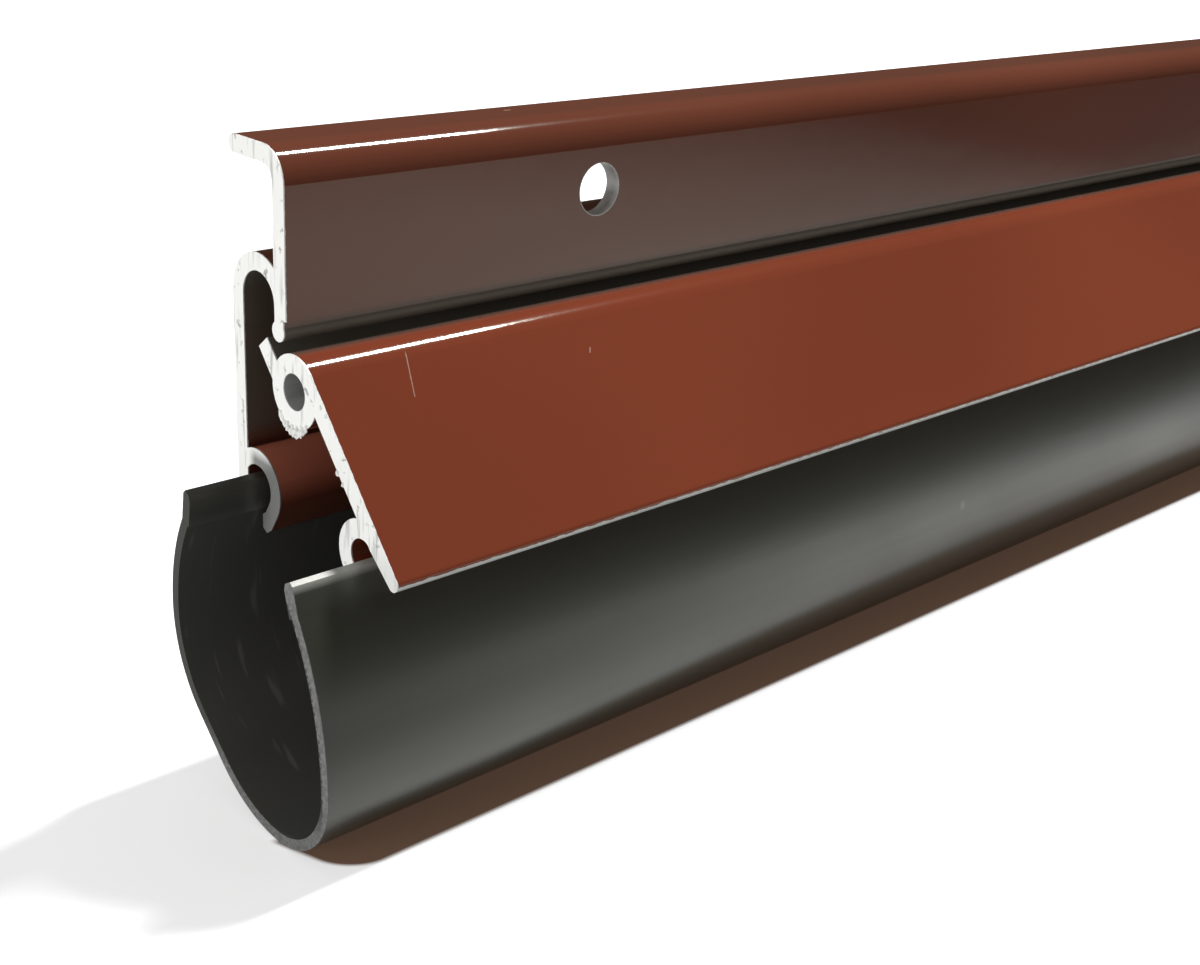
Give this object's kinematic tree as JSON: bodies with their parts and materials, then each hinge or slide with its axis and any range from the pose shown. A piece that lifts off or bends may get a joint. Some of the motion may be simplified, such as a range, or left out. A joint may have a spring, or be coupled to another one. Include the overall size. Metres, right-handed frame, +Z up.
{
  "type": "automatic door bottom seal",
  "caption": "Door bottom seal: an extruded carrier with a hinged sprung flap and a rubber half-tube between them; a plunger at one end swings the flap in and lowers the rubber.",
  "frame": {"origin": "centre of the row of fixing holes, on the front face of the carrier's plate", "axes": "+X along the door's width towards the plunger, +Y into the door, +Z up"},
  "size_m": [0.8189, 0.0245, 0.0578],
  "materials": {
    "painted_aluminium": "glossy red-brown paint",
    "seal_rubber": "satin black rubber",
    "clip_nylon": "black nylon",
    "housing_nylon": "black moulded nylon",
    "white_acetal": "white acetal",
    "zinc_steel": "zinc plated",
    "bright_steel": "bright steel",
    "brass": "turned brass"
  },
  "bodies": {
    "carrier": {"base_profile": "painted_aluminium", "seal_membrane": "seal_rubber", "end_housing": "housing_nylon", "housing_screws": "zinc_steel", "rod_bush": "brass"},
    "flap": {"swing_profile": "painted_aluminium", "hinge_clip_1": "clip_nylon", "hinge_clip_2": "clip_nylon", "hinge_clip_3": "clip_nylon", "hinge_clip_4": "clip_nylon", "crank_plate": "zinc_steel", "crank_screw": "zinc_steel", "cam_sleeve": "white_acetal"},
    "plunger": {"plunger_rod": "bright_steel", "cross_pin": "bright_steel", "spring_washer": "zinc_steel", "plunger_spring": "bright_steel", "lock_nut": "zinc_steel", "plunger_button": "white_acetal"}
  },
  "joints": [
    {"name": "flap_swing", "type": "hinge", "parent": "carrier", "child": "flap", "pos_m": [0, 0.0012, -0.0085], "axis": [1, 0, 0], "range_deg": [0, 30], "stiffness_Nm_per_rad": 0.08, "springref_deg": -28.65, "deforming": ["seal_membrane"]},
    {"name": "plunger_slide", "type": "slide", "parent": "carrier", "child": "plunger", "axis": [1, 0, 0], "range_m": [-0.0075, 0], "deforming": ["plunger_spring"]}
  ],
  "couplings": [
    {"joint": "plunger_slide", "follows": "flap_swing", "m_per_rad": -0.014324}
  ]
}
